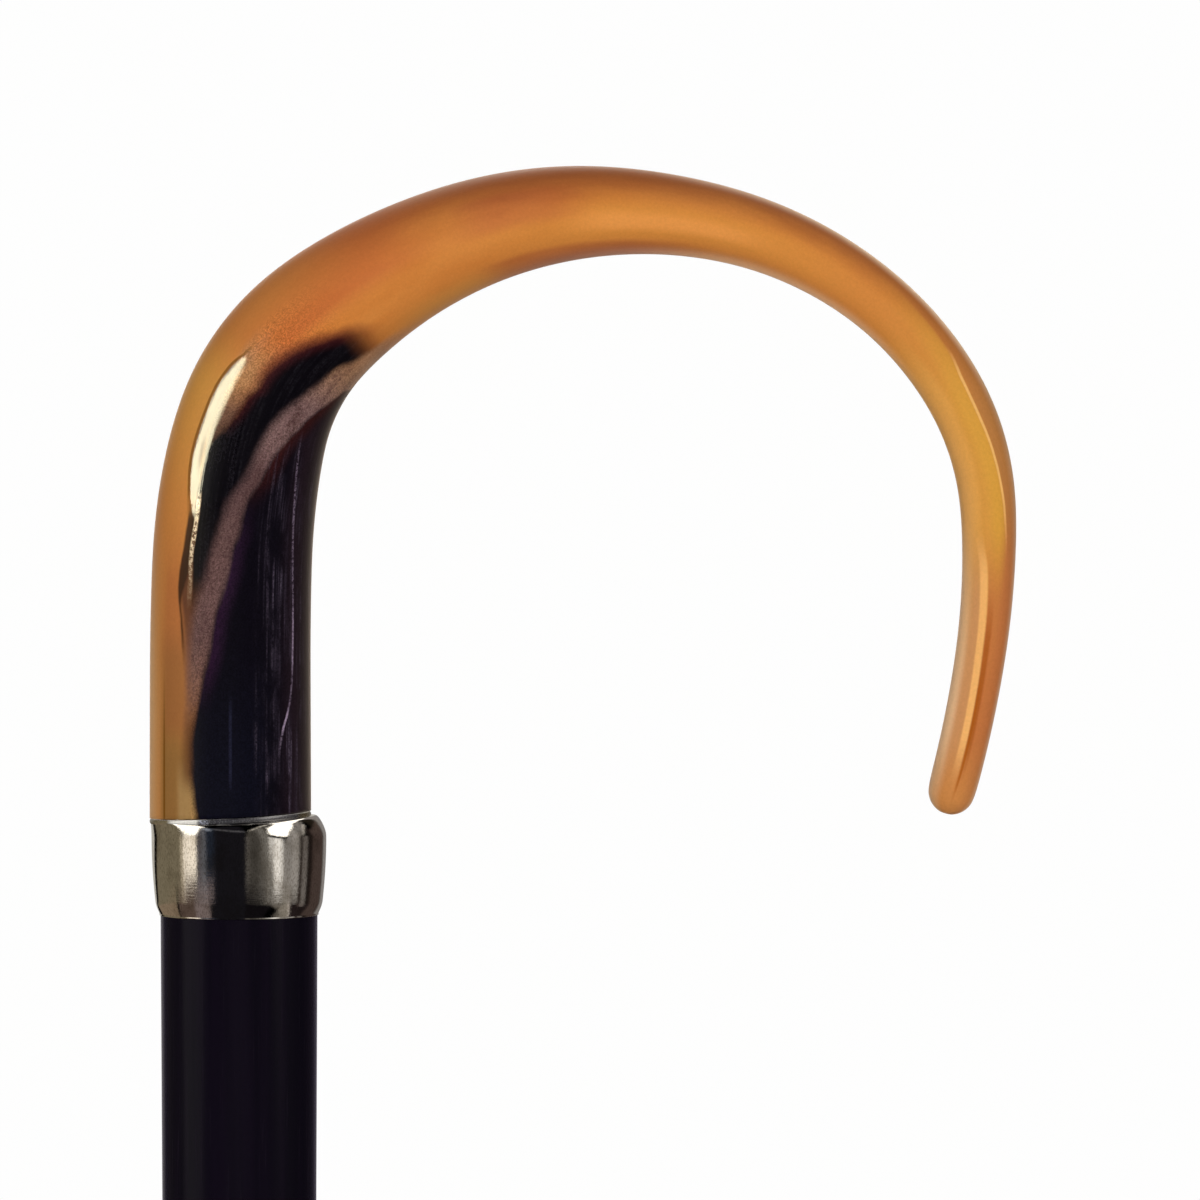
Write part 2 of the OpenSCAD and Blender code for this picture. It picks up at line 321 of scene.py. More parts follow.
# Where each point is on the straightened crook: mm from the foot, outwards and across, with the
# outward direction at its place
def laidOut(piece):
    stops = np.linspace(0, crookLength, 1200)
    places = np.array([crookAt(s) for s in stops])
    co = np.empty(len(piece.data.vertices) * 3)
    piece.data.vertices.foreach_get("co", co)
    co = co.reshape(-1, 3) / mm
    near = np.empty(len(co), int)
    for first in range(0, len(co), 4000):
        part = co[first:first + 4000]
        far = (part[:, None, 0] - places[None, :, 0]) ** 2 + (part[:, None, 2] - places[None, :, 1]) ** 2
        near[first:first + 4000] = far.argmin(1)
    angle = np.radians(places[near, 2])
    out = np.stack([-np.sin(angle), 0 * angle, np.cos(angle)], 1)
    outward = (co[:, 0] - places[near, 0]) * out[:, 0] + (co[:, 2] - places[near, 1]) * out[:, 2]
    return co, np.stack([stops[near], outward, co[:, 1]], 1), out


# Two low ridges left by the scraper, where the light breaks on the right bend and the tip
def raiseRidges(piece):
    co, laid, out = laidOut(piece)
    s, outward, across = laid.T
    degrees = np.degrees(np.arctan2(np.abs(across), outward))
    lift = np.zeros(len(co))
    for line, ends in (("bendLine", (148, 156, 174, 182)), ("tipLine", (176, 182, 202, 210))):
        crest = np.interp(s, *np.array(horn[line]).T)
        near = np.clip(1 - np.abs(degrees - crest) / horn["ridgeWidth"], 0, 1)
        lift = np.maximum(lift, near * np.interp(s, ends, (0, 1, 1, 0)))
    way = out * outward[:, None]
    way[:, 1] = across
    co += way / np.linalg.norm(way, axis=1)[:, None] * lift[:, None] * horn["ridge"]
    piece.data.vertices.foreach_set("co", (co * mm).ravel())
    piece.data.update()


raiseRidges(crook)
grain = crook.data.attributes.new("grain", "FLOAT_VECTOR", "POINT")
grain.data.foreach_set("vector", laidOut(crook)[1].astype(np.float32).ravel())


# Colours are laid out by s, the millimetres from the foot, and by the angle round the section:
# 0 on the outer line, 90 facing the viewer, 180 on the inner line, alike on the back
def amberHue(f, s, angle, fog, cloud):
    hue = f.blend(rgb(197, 119, 53), rgb(206, 130, 61), cloud.rise(0.35, 0.65))
    hue = f.blend(hue, rgb(182, 121, 62), s.fall(10, 62) * angle.fall(45, 105))
    hue = f.blend(hue, rgb(134, 96, 44), s.fall(4, 20) * angle.rise(30, 40) * angle.fall(48, 64) * 0.8)
    hue = f.blend(hue, rgb(204, 150, 90), s.fall(14, 40) * angle.fall(20, 36) * 0.9)
    hue = f.blend(hue, rgb(203, 146, 66), s.rise(32, 56) * s.fall(62, 84) * angle.fall(40, 95) * 0.8)
    hue = f.blend(hue, rgb(208, 134, 59),
                  s.rise(84, 108) * s.fall(124, 150) * angle.rise(72, 92) * angle.fall(112, 138))
    hue = f.blend(hue, rgb(158, 88, 48), s.rise(62, 92) * s.fall(122, 190) * (angle + fog * 26).fall(38, 92) * 0.9)
    hue = f.blend(hue, rgb(150, 84, 48), s.rise(84, 104) * s.fall(120, 142) * (angle + fog * 20).rise(126, 166) * 0.6)
    # painted rim light: paler outer and inner rims round the crown and bow, partly the thin horn's own paler edge
    hue = f.blend(hue, rgb(255, 210, 164), s.rise(100, 150) * angle.fall(18, 48))
    hue = f.blend(hue, rgb(246, 184, 130), s.rise(84, 130) * angle.rise(132, 164))
    hue = f.blend(hue, rgb(255, 218, 178), s.rise(156, 176) * angle.rise(116, 150))
    # a painted highlight down the middle of the crown
    hue = f.blend(hue, rgb(226, 148, 73), s.rise(98, 108) * s.fall(120, 130) * abs(angle - 104).fall(3, 16) * 0.8)
    hue = f.deepen(hue, rgb(238, 210, 228), s.rise(52, 60) * s.fall(74, 88) * angle.fall(86, 104) * 0.9)
    hue = f.deepen(hue, rgb(238, 222, 244), s.rise(84, 92) * s.fall(98, 106) * angle.rise(54, 66) * angle.fall(90, 104))
    hue = f.deepen(hue, rgb(230, 214, 240), s.rise(86, 92) * s.fall(108, 122) * angle.rise(124, 134) * 0.9)
    return f.blend(hue, rgb(196, 136, 66), s.rise(68, 80) * s.fall(84, 96) * angle.rise(120, 150) * 0.6)


# Gold at the right bend and brown outside its line: partly the horn's own colour, partly painted light and shade of the
# scraped facets
def bendHue(f, hue, s, angle):
    past = angle - f.curve(s, 220, horn["bendLine"])
    gold = s.rise(140, 166) * s.fall(178, 200)
    hue = f.blend(hue, rgb(209, 147, 65), gold * past.rise(-2, 3) * 0.9)
    hue = f.blend(hue, rgb(212, 155, 60), gold * past.rise(0, 6) * past.fall(14, 44) * 0.7)
    # painted rim light on the inner edge, partly the thin horn's own paler edge
    hue = f.blend(hue, rgb(226, 176, 122), s.rise(150, 176) * angle.rise(112, 150) * 0.7)
    hue = f.blend(hue, rgb(182, 124, 68), s.rise(150, 164) * past.fall(-6, 1) * 0.7)
    hue = f.blend(hue, rgb(224, 161, 80), s.rise(146, 160) * s.fall(174, 186) * angle.rise(100, 118) * 0.7)
    hue = f.blend(hue, rgb(182, 108, 60), s.rise(168, 184) * angle.fall(52, 74) * 0.8)
    # a painted highlight along the ridge's line
    return f.blend(hue, rgb(244, 194, 116), abs(past).fall(1, 3.4) * s.rise(153, 158) * s.fall(172, 182) * 0.7)


# The tip, beige inside its line and reddish outside: partly the horn's own colour, partly painted light and shade of
# the scraped facets
def tipHue(f, hue, s, angle):
    over = angle - f.curve(s, 220, horn["tipLine"])
    tip = s.rise(176, 188) * s.fall(204, 214)
    hue = f.blend(hue, rgb(188, 112, 62), tip * over.fall(-4, 1) * 0.85)
    hue = f.blend(hue, rgb(166, 86, 30), abs(over + 6).fall(5, 12) * s.rise(184, 193) * s.fall(206, 211) * 0.85)
    hue = f.blend(hue, rgb(200, 142, 92), tip * over.rise(-1, 3) * angle.fall(116, 140) * 0.85)
    hue = f.blend(hue, rgb(194, 130, 72), s.rise(202, 214) * 0.7)
    # painted rim light on both edges, partly the thin horn's own paler edge
    hue = f.blend(hue, rgb(238, 196, 156), (angle.fall(14, 42) + angle.rise(140, 164)) * s.rise(172, 186) * 0.5)
    # a painted highlight beside the ridge's line
    hue = f.blend(hue, rgb(240, 178, 104), abs(over - 7).fall(5, 11) * s.rise(177, 184) * s.fall(203, 211) * 0.9)
    return f.blend(hue, rgb(166, 86, 22), abs(over + 5).fall(1, 4.5) * s.rise(195, 199) * s.fall(209, 213) * 0.85)


# The dark core that shows through the leg, crossed by a pale streak. Lines are (mm from the
# foot, degrees round the section)
legPaint = {
    "patchTop": [(0, 64), (20, 64), (30, 66), (38, 65.5), (44.6, 66), (45.8, 67), (48.9, 76),
                 (51.8, 81), (53.2, 83), (54.5, 87), (56.5, 88), (58.5, 91.5), (60.6, 96),
                 (67, 113), (69.4, 119), (71.6, 128), (74, 142), (80, 160), (100, 170)],
    "streakTop": [(0, 60), (14.7, 60.5), (19.8, 62.2), (22.3, 63.6), (24.8, 65.8), (27.3, 69.4),
                  (29.3, 73.1), (31.1, 75), (37.5, 85), (40.1, 87.7), (43.1, 96), (48.3, 104),
                  (52.9, 112.5), (56.4, 121.5), (59, 127), (62.1, 130.7), (67, 143), (70, 147),
                  (76, 151), (100, 180)],
    "streakEnd": [(0, 68.6), (3.4, 65.4), (7.1, 64.8), (10, 65.5), (14.7, 70.6), (21, 78.9),
                  (25.5, 82.6), (27.4, 85.8), (31.3, 90.9), (33.7, 93), (35.7, 96.7), (38.4, 98.1),
                  (40.3, 100.6), (43, 107.9), (45.7, 112.7), (47.6, 117.1), (51.4, 129),
                  (54, 135.5), (55.8, 142), (58.7, 151), (61, 160), (63, 176), (66, 180),
                  (100, 180)],
    "leafLine": [(0, 60), (12, 60), (18, 59), (21, 58), (24.8, 55.8), (28.3, 52.9), (29.8, 53.2),
                 (31.6, 54.4), (33.5, 56.6), (35.9, 58), (38.2, 58.6), (43.6, 53.9), (45.3, 53.4),
                 (50.1, 55.6), (53.9, 58), (56.3, 62.6), (57.2, 65.5), (60, 70), (100, 74)],
    "scratch": [(0, 128), (7.7, 130.3), (9.6, 132), (11.5, 134.9), (13.3, 138.8), (15.9, 141.9),
                (21, 143.6), (32.8, 141.9), (42.6, 138), (49.8, 134.1), (100, 134)],
    "thinLine": 39.2, "sparkLine": [(0, 62.8), (29, 62.8), (33, 63), (37, 65.5), (40, 65.5), (100, 65.5)],
}


def legHue(f, hue, s, angle, plain, fog, fibres, speckle, mottle):
    # the strip beside the core, browner low down and olive at the very foot
    strip = angle.rise(32, 44) * angle.fall(80, 90)
    hue = f.deepen(hue, rgb(236, 222, 232), strip * s.rise(18, 22) * s.fall(28, 36))
    hue = f.blend(hue, rgb(146, 92, 49), strip * s.rise(7, 12) * s.fall(19, 25) * 0.85)
    hue = f.blend(hue, rgb(140, 98, 50), strip * s.fall(7, 12))
    hue = f.blend(hue, rgb(160, 126, 78), angle.rise(50, 56) * angle.fall(66, 74) * s.fall(3, 8) * 0.8)

    top, middle, core, line, scratch = (plain - f.curve(s, 100, legPaint[name]) for name in
                                        ("patchTop", "streakTop", "streakEnd", "leafLine", "scratch"))
    drift = fog * 5
    dots = speckle.rise(0.3, 0.68)

    # mauve between the leaf and the black, reddish brown beside the strip further down
    beside = f.blend(rgb(54, 38, 34), rgb(104, 74, 60), s.rise(46, 51))
    beside = f.blend(beside, rgb(176, 126, 82), s.rise(50, 55))
    hue = f.blend(hue, beside, plain.rise(58, 66) * s.rise(42, 46) * s.fall(55, 62) * top.fall(0, 6) * 0.95)
    red = f.blend(rgb(132, 82, 50), rgb(92, 54, 34), s.rise(17, 27))
    red = f.blend(red, rgb(52, 32, 24), s.rise(28, 33))
    hue = f.blend(hue, red, line.rise(-1, 5) * s.rise(8, 20) * s.fall(36, 42))
    hue = f.blend(hue, rgb(108, 76, 54), line.rise(-0.4, 0.8) * line.fall(7, 10) * s.rise(38, 41) * s.fall(55, 58))

    # the black patch, dark red along its edge
    shade = f.blend(rgb(8, 6, 11), rgb(30, 27, 32), dots * fibres.rise(0.45, 0.65) * 0.7)
    shade = f.blend(shade, rgb(54, 18, 20), (top + drift).fall(0, 11) * s.rise(47, 52))
    hue = f.blend(hue, rgb(116, 58, 34), (top + drift).rise(-11, -2) * s.rise(50, 58) * s.fall(66, 74) * 0.85)
    firm = s.fall(45, 51)
    hue = f.blend(hue, shade, ((top + drift) * (1 + firm * 1.5) + firm * 3).rise(-5, 4) * s.rise(24, 31) * s.fall(66, 72))

    # the streak
    streakHue = f.blend(rgb(128, 88, 66), rgb(104, 77, 73), s.rise(12, 24))
    streakHue = f.blend(streakHue, rgb(86, 62, 61), s.rise(34, 43))
    streakHue = f.blend(streakHue, rgb(126, 98, 94), s.rise(43, 49))
    streakHue = f.blend(streakHue, rgb(172, 128, 94), s.rise(54, 66))
    deep = f.blend(rgb(80, 56, 54), rgb(146, 102, 70), s.rise(60, 70))
    streakHue = f.blend(deep, streakHue, dots * 0.5 + mottle.rise(0.35, 0.6) * 0.5)
    hue = f.blend(hue, streakHue, (middle + drift * 1.4).rise(-5, 6) * s.rise(7, 16) * s.fall(68, 78))

    # the core, brown along its edge low down, purple further up and dark red at the top, with a painted purple-grey
    # sheen over its right side
    coreHue = f.blend(rgb(10, 7, 15), rgb(11, 11, 22), s.fall(4, 26) * plain.fall(110, 130))
    coreHue = f.blend(coreHue, rgb(30, 19, 27), plain.rise(126, 144) * 0.9)
    coreHue = f.blend(coreHue, rgb(36, 16, 38), core.rise(-1, 3) * core.fall(2, 14) * s.rise(12, 20) * s.fall(30, 42))
    coreHue = f.blend(coreHue, rgb(48, 18, 17), core.rise(0, 2) * core.fall(2, 16) * s.rise(38, 46) * 0.9)
    # painted sheen on the right of the core, broken by fibres
    paintedSheen = mottle.rise(0.4, 0.62) * s.fall(40, 54)
    coreHue = f.blend(coreHue, rgb(54, 46, 58), fibres.rise(0.4, 0.62) * plain.rise(106, 128) * paintedSheen * 0.6)
    threads = fibres.rise(0.56, 0.68) * dots * paintedSheen
    coreHue = f.blend(coreHue, rgb(104, 92, 108), threads * plain.rise(106, 120) * 0.55)
    coreHue = f.blend(coreHue, rgb(25, 25, 42), abs(plain - 93.5).fall(0.4, 1.6) * s.rise(2, 6) * s.fall(12, 16))
    hue = f.blend(hue, rgb(92, 56, 30), core.rise(-12, -1) * s.rise(2, 6) * s.fall(10, 16) * 0.9)
    hue = f.blend(hue, coreHue, (core + drift).rise(-3, 3) * s.fall(60, 66))
    # a pale scratch on the right of the leg, with painted glints of reflected light along it
    gleam = (speckle.rise(0.35, 0.55) * 0.45 + s.rise(18, 20) * s.fall(24, 28) * 0.5
             + s.rise(10, 11) * s.fall(12.5, 14) * 0.8)
    hue = f.blend(hue, rgb(140, 122, 142), abs(scratch).fall(0.4, 1.4) * s.rise(7, 10) * s.fall(44, 52) * gleam)

    # thin dark lines: left of the leaf, beside the strip and near the outer edge of the foot
    hue = f.blend(hue, rgb(112, 66, 8), abs(line + 1).fall(0.7, 2) * s.rise(37, 41) * s.fall(56, 60) * 0.85)
    width = 1.2 + s.rise(26, 31) * 6
    band = (line + drift * 0.5).rise(-1.6, 0.8) * (line - width).fall(-1, 1.6)
    hue = f.blend(hue, rgb(48, 26, 12), band * s.rise(18, 24) * s.fall(37, 40) * 0.95)

    # painted reflection: glints of the window's light trailing down from the leaf-shaped highlight, in a dim painted
    # glow
    besideSparks = abs(plain + drift * 0.6 - f.curve(s, 100, legPaint["sparkLine"]))
    paintedSparkles = (speckle * 0.7 + mottle * 0.3 + s.rise(27, 40) * 0.08).rise(0.46, 0.6)
    hue = f.blend(hue, rgb(118, 84, 58), besideSparks.fall(1, 2.6) * s.rise(26, 29) * s.fall(39, 41) * 0.8)
    hue = f.blend(hue, rgb(250, 226, 184), besideSparks.fall(0.8, 2.2) * s.rise(26, 37) * s.fall(39.5, 41) * paintedSparkles)
    return f.blend(hue, rgb(112, 68, 8), abs(plain - legPaint["thinLine"]).fall(0.6, 1.6) * s.fall(6, 22) * 0.9)


def hornFinish():
    f = Finish("polished_horn")
    grain = f.node("Attribute", {"attribute_name": "grain"}, out=1)
    s, outward, side = f.split(grain)
    drift = f.noise(f.stretched(grain, (0.05, 0.2, 0.2)), 1, 3, 0.55) - 0.5
    back = side.rise(-1, 5) * (f.noise(f.stretched(grain, (0.03, 0.05, 0.05)), 1, 1) * 60 - 30)
    plain = abs(side).maths("ARCTAN2", outward) * (180 / math.pi) + back
    angle = plain + drift * 6
    cloud = f.noise(f.stretched(grain, (0.045, 0.16, 0.16)), 1, 3, 0.55)
    fibres = f.noise(f.stretched(grain, (0.05, 2.2, 2.2)), 1, 4, 0.6)
    speckle = f.noise(grain, 2.6, 2, 0.7)
    fog = f.noise(f.stretched(grain, (0.12, 0.5, 0.5)), 1, 3, 0.6) - 0.5
    mottle = f.noise(f.stretched(grain, (0.16, 0.5, 0.5)), 1, 4, 0.65)

    hue = amberHue(f, s, angle, fog, cloud)
    hue = bendHue(f, hue, s, angle)
    hue = tipHue(f, hue, s, angle)
    hue = legHue(f, hue, s, angle, plain, fog, fibres, speckle, mottle)
    hue = f.deepen(hue, 0.88 + speckle * 0.24, 1.0)
    grit = f.noise(grain, 4.5, 2, 0.8)
    hue = f.deepen(hue, 0.62 + grit.rise(0.32, 0.68) * 0.76, angle.rise(60, 70) * s.fall(58, 72))

    # the leg is polished brighter than the rest where the leaf-shaped light lies, less in a worn spot
    leafLine = f.curve(s, 100, legPaint["leafLine"])
    spot = abs(plain - 61).fall(0.5, 3) * abs(s - 45.2).fall(0.5, 2.5)
    over = plain - leafLine - s.fall(36, 40) * 5
    polish = (over.rise(-0.4, 0.8) * angle.fall(80, 96) * s.rise(37, 38.5) * s.fall(60, 66)
              * (1 - (plain - leafLine).rise(8, 17) * s.rise(42, 47) * 0.35)
              * (1 - plain.rise(67.5, 69.5) * s.fall(38, 40)) * (1 - spot * 0.35) * (0.7 + mottle * 0.6))
    ripple = f.noise(f.stretched(grain, (0.9, 1, 1)), 1, 2, 0.6) * s.fall(38, 46) * 0.7
    bump = f.node("Bump", None, {"Strength": 0.25, "Distance": 0.0001, "Height": fibres * 0.6 + ripple})
    return f.surface({"Base Color": hue, "Roughness": 0.38 + fibres * 0.06, "IOR": 1.54,
                      "Specular IOR Level": 0.03, "Normal": bump, "Coat Weight": polish * 0.85,
                      "Coat Roughness": 0.04, "Coat IOR": 1.54, "Coat Normal": bump,
                      "Sheen Weight": 0.4, "Sheen Roughness": 0.3, "Sheen Tint": rgb(255, 232, 206)})


dress(crook, hornFinish(), "horn_handle")
crook.visible_glossy = False    # the collar shows the white cloths, not the horn
print("horn crook:", len(crook.data.polygons), "faces")


# The silver barrel, spun from sheet: a lip, a curl, a shallow belly and a rolled shoulder
barrel = {
    "footZ": 804.25, "height": 12.05, "woodD": 20.1, "swell": 1.15, "step": 0.15, "lip": 0.25,
    "curl": 1.8, "shoulder": 2, "belly": 0.45, "wall": 0.4, "plateW": 0.75, "sides": 96, "lipRise": 0.6,
    "rows": [0, 0.02, 0.23, 0.25, 0.4, 0.7, 1.1, 1.6, 2.05, 3, 4.5, 6, 7.5, 9, 10],
}


def barrelRow(h):
    b = barrel
    wide = b["woodD"] / 2 + b["swell"]
    foot = b["woodD"] / 2 + b["step"]
    shoulderZ = b["height"] - b["shoulder"]
    waist = wide - b["belly"]
    if h <= b["lip"]:
        return foot, 0
    if h < b["lip"] + b["curl"]:
        return foot + (waist - foot) * math.sin(math.pi / 2 * (h - b["lip"]) / b["curl"]), 0
    if h <= shoulderZ:
        belly = (h - b["lip"] - b["curl"]) / (shoulderZ - b["lip"] - b["curl"])
        return wide - b["belly"] * (1 - belly) ** 2, 0
    rise = (h - shoulderZ) / b["shoulder"]
    lean = 1 - math.sqrt(max(1 - rise * rise, 0))
    return wide + (horn["footD"] / 2 - wide) * lean, lean


def barrelRing(h, radius, lean):
    return ((-horn["offset"] * lean * mm, 0, (barrel["footZ"] + h) * mm), 2 * radius, 2 * radius,
            -math.atan(lean * math.tan(math.radians(horn["tilt"]))))


bead = {"d": 0.85, "around": 160, "through": 24, "flat": 0.36}
beadR = (horn["footD"] - bead["d"]) / 2
shoulderZ = barrel["height"] - barrel["shoulder"]
heights = barrel["rows"] + [shoulderZ + barrel["shoulder"] * math.sin(math.radians(a)) for a in range(10, 91, 10)]
throat = beadR - barrel["plateW"]
ceiling = barrel["height"] - barrel["wall"]
barrelRings = [barrelRing(h, *barrelRow(h)) for h in heights]
barrelRings += [barrelRing(barrel["height"], throat + 0.02, 1), barrelRing(barrel["height"] - 0.02, throat, 1),
                barrelRing(ceiling, throat, 1)]
for h in reversed([h for h in heights if h < ceiling]):
    radius, lean = barrelRow(h)
    barrelRings.append(barrelRing(h, radius - barrel["wall"], lean))
silverBarrel = pullRings("silver_barrel", barrelRings, barrel["sides"])

# The lip is worked up round the wire at the two sides
for vertex in silverBarrel.data.vertices:
    ring = vertex.index // barrel["sides"]
    if ring < len(heights):
        radius, lean = barrelRow(heights[ring])
        hump = math.sin(math.pi * lean ** 1.6)
        vertex.co.z += barrel["lipRise"] * mm * hump * (vertex.co.x / (radius * mm)) ** 2
closeTube(silverBarrel, band=True)
smoothOver(silverBarrel, 1)


def silverFinish(name, light, dark, dull):
    f = Finish(name)
    place = f.objectPlace()
    fine = f.noise(f.stretched(place, (1, 1, 0.5)), 5200, 2, 0.6)
    cloud = f.noise(place, 260, 4, 0.6)
    lines = f.noise(f.stretched(place, (1, 1, 40)), 500, 2, 0.5)
    tone = f.blend(light, dark, cloud.rise(0.45, 0.72) * 0.6)
    tone = f.blend(tone, dark, fine.rise(0.44, 0.68) * 0.5)
    rough = dull + cloud.rise(0.45, 0.75) * 0.06 + fine.rise(0.5, 0.75) * 0.05
    bump = f.node("Bump", None, {"Strength": 0.12, "Distance": 0.00004, "Height": lines * 0.7 + fine})
    return f.surface({"Base Color": tone, "Metallic": 1.0, "Roughness": rough, "Normal": bump})


dress(silverBarrel, silverFinish("polished_silver", rgb(238, 233, 226), rgb(160, 150, 136), 0.06),
      "collar_shell")

# The bead is wire, filed flat where it sits on the barrel and under the horn
startFresh()
beadPlace = Vector((-horn["offset"] * mm, 0, (barrel["footZ"] + barrel["height"] + bead["d"] / 2) * mm))
bpy.ops.mesh.primitive_torus_add(major_segments=bead["around"], minor_segments=bead["through"],
                                 major_radius=beadR * mm, minor_radius=bead["d"] / 2 * mm)
wire = bpy.context.object
wire.name = "silver_wire"
bpy.ops.object.mode_set(mode="EDIT")
for side in (1, -1):
    bpy.ops.mesh.select_all(action="SELECT")
    bpy.ops.mesh.bisect(plane_co=(0, 0, side * bead["flat"] * mm), plane_no=(0, 0, side), clear_outer=True)
    bpy.ops.mesh.bridge_edge_loops()
bpy.ops.mesh.select_all(action="SELECT")
bpy.ops.mesh.normals_make_consistent(inside=False)
turnSelected((0, 0, 0), -math.radians(horn["tilt"]))
bpy.ops.transform.translate(value=beadPlace)
bpy.ops.object.mode_set(mode="OBJECT")
bpy.ops.object.shade_smooth_by_angle(angle=math.radians(30))


# Dull wire, painted white at the left where the shoulder's highlight lies over it, with a painted olive reflection
# beyond that, a painted bluish glint, and tan towards the right
def wireFinish():
    f = Finish("dull_silver")
    place = f.objectPlace()
    x = f.split(place)[0] * 1000
    fine = f.noise(place, 5200, 2, 0.6)
    cloud = f.noise(place, 260, 4, 0.6)
    tone = f.blend(rgb(112, 110, 112), rgb(70, 68, 74), cloud.rise(0.42, 0.7))
    tone = f.blend(tone, rgb(222, 218, 210), x.fall(-5, -4.3))
    tone = f.blend(tone, rgb(118, 106, 80), x.fall(-8.9, -8.1))
    tone = f.blend(tone, rgb(186, 190, 204), abs(x + 3.9).fall(0.3, 0.8) * fine.rise(0.4, 0.55))
    tone = f.blend(tone, rgb(140, 128, 98), x.rise(7.5, 8.5))
    bump = f.node("Bump", None, {"Strength": 0.12, "Distance": 0.00004, "Height": fine})
    # less metallic where the white is painted, so that it shows
    return f.surface({"Base Color": tone, "Metallic": 0.7 - x.fall(-5, -4.3) * 0.6, "Normal": bump,
                      "Roughness": 0.26 + fine.rise(0.5, 0.75) * 0.05})


dress(wire, wireFinish(), "collar_bead")
print("silver collar made")


# The tapered shaft, with its tenons and the bore for the stud
wood = {
    "footZ": 33.6, "topZ": 804.25, "footD": 12.7, "topD": 20.1, "sides": 96, "ease": 0.1,
    "tenons": [(5.6, 11.4), (812.5, 19.5)], "boreZ": 776.5, "boreD": 8.1,
}
(lowZ, lowD), (highZ, highD) = wood["tenons"]
woodProfile = [(lowZ, lowD), (wood["footZ"], lowD), (wood["footZ"], wood["footD"]), (wood["topZ"], wood["topD"]),
               (wood["topZ"], highD), (highZ, highD), (highZ, wood["boreD"]), (wood["boreZ"], wood["boreD"])]
woodShaft = pullRings("wood_shaft", upright(woodProfile), wood["sides"])
closeTube(woodShaft)
easeEdges(woodShaft, wood["ease"])


def woodFinish():
    f = Finish("black_hardwood")
    place = f.objectPlace()
    bands = f.noise(f.stretched(place, (1, 1, 0.02)), 420, 3, 0.6)
    pores = f.noise(f.stretched(place, (1, 1, 0.03)), 2600, 3, 0.6)
    tone = f.blend(rgb(12, 9, 17), rgb(16, 11, 21), bands.rise(0.4, 0.65))
    tone = f.blend(tone, rgb(32, 24, 36), pores.rise(0.6, 0.8) * 0.4)
    bump = f.node("Bump", None, {"Strength": 0.15, "Distance": 0.00004, "Height": pores})
    return f.surface({"Base Color": tone, "Roughness": 0.2 + pores.rise(0.4, 0.8) * 0.12,
                      "IOR": 1.5, "Specular IOR Level": 0.03, "Normal": bump,
                      "Sheen Weight": 0.12, "Sheen Roughness": 0.3, "Sheen Tint": rgb(214, 196, 255)})


dress(woodShaft, woodFinish(), "shaft")


def brassFinish(name, light, dark, wear):
    f = Finish(name)
    place = f.objectPlace()
    cloud = f.noise(place, 320, 4, 0.6)
    rings = f.noise(f.stretched(place, (1, 1, 60)), 90, 3, 0.6)
    scuffs = f.noise(f.stretched(place, (1, 1, 0.3)), 1400, 3, 0.7)
    low = f.split(place)[2].fall(0.002, 0.012)
    tone = f.blend(light, dark, cloud.rise(0.42, 0.68) * 0.75)
    tone = f.blend(tone, light, (low + scuffs.rise(0.62, 0.75) * 0.5) * wear)
    rough = 0.2 + cloud.rise(0.4, 0.7) * 0.15 + low * 0.12
    bump = f.node("Bump", None, {"Strength": 0.12, "Distance": 0.00005, "Height": rings + cloud * 0.4 + scuffs * 0.3})
    return f.surface({"Base Color": tone, "Metallic": 1.0, "Roughness": rough, "Normal": bump})


# The brass ferrule: a rounded lower edge, two turned lines and a rolled bead
brass = {
    "footZ": 1.6, "length": 32, "d": 12.7, "wall": 0.6, "edge": 0.4, "rim": 0.1, "sides": 96, "ease": 0.04,
    "lines": [26.8, 27.6], "lineW": 0.4, "lineDepth": 0.12, "rollZ": 31.1, "rollHalf": 0.6, "rollOut": 0.35,
}
r, edge = brass["d"] / 2, brass["edge"]
sleeve = [(edge * (1 - math.cos(math.radians(a))), r - edge * (1 - math.sin(math.radians(a))))
          for a in (0, 30, 60, 90)]
for z in brass["lines"]:
    deep, wide = brass["lineDepth"], brass["lineW"]
    sleeve += [(z, r), (z + deep, r - deep), (z + wide - deep, r - deep), (z + wide, r)]
sleeve += [(brass["rollZ"] - brass["rollHalf"] * math.cos(math.radians(a)),
            r + brass["rollOut"] * math.sin(math.radians(a))) for a in range(0, 181, 15)]
sleeve += [(brass["length"], r - brass["rim"]), (brass["length"], r - brass["wall"]), (0, r - brass["wall"])]
ferrule = pullRings("brass_ferrule", upright([(brass["footZ"] + z, 2 * radius) for z, radius in sleeve]),
                    brass["sides"])
closeTube(ferrule, band=True)
easeEdges(ferrule, brass["ease"])
dress(ferrule, brassFinish("handled_brass", rgb(214, 178, 96), rgb(136, 100, 44), 0.6), "ferrule")


def plainFinish(name, tone, dark, metallic, rough):
    f = Finish(name)
    place = f.objectPlace()
    cloud = f.noise(place, 500, 4, 0.6)
    bump = f.node("Bump", None, {"Strength": 0.2, "Distance": 0.00005, "Height": cloud})
    return f.surface({"Base Color": f.blend(tone, dark, cloud.rise(0.4, 0.65)), "Metallic": metallic,
                      "Roughness": rough + cloud * 0.15, "Normal": bump})


# The steel plug that takes the wear, rounded at its edge and flat underfoot
plug = {"d": 12, "height": 1.6, "spigotD": 11.4, "spigotTop": 5.6, "sides": 96, "ease": 0.04}
r, roundR = plug["d"] / 2, plug["height"] / 2
head = [(roundR * (1 - math.cos(math.radians(a))), 2 * (r - roundR + roundR * math.sin(math.radians(a))))
        for a in range(0, 91, 15)]
steelPlug = pullRings("steel_plug", upright(head + [(plug["height"], plug["d"]), (plug["height"], plug["spigotD"]),
                                                    (plug["spigotTop"], plug["spigotD"])]), plug["sides"])
closeTube(steelPlug)
easeEdges(steelPlug, plug["ease"])
dress(steelPlug, plainFinish("worn_steel", rgb(150, 150, 152), rgb(84, 80, 76), 1.0, 0.35),
      "ferrule_plug")

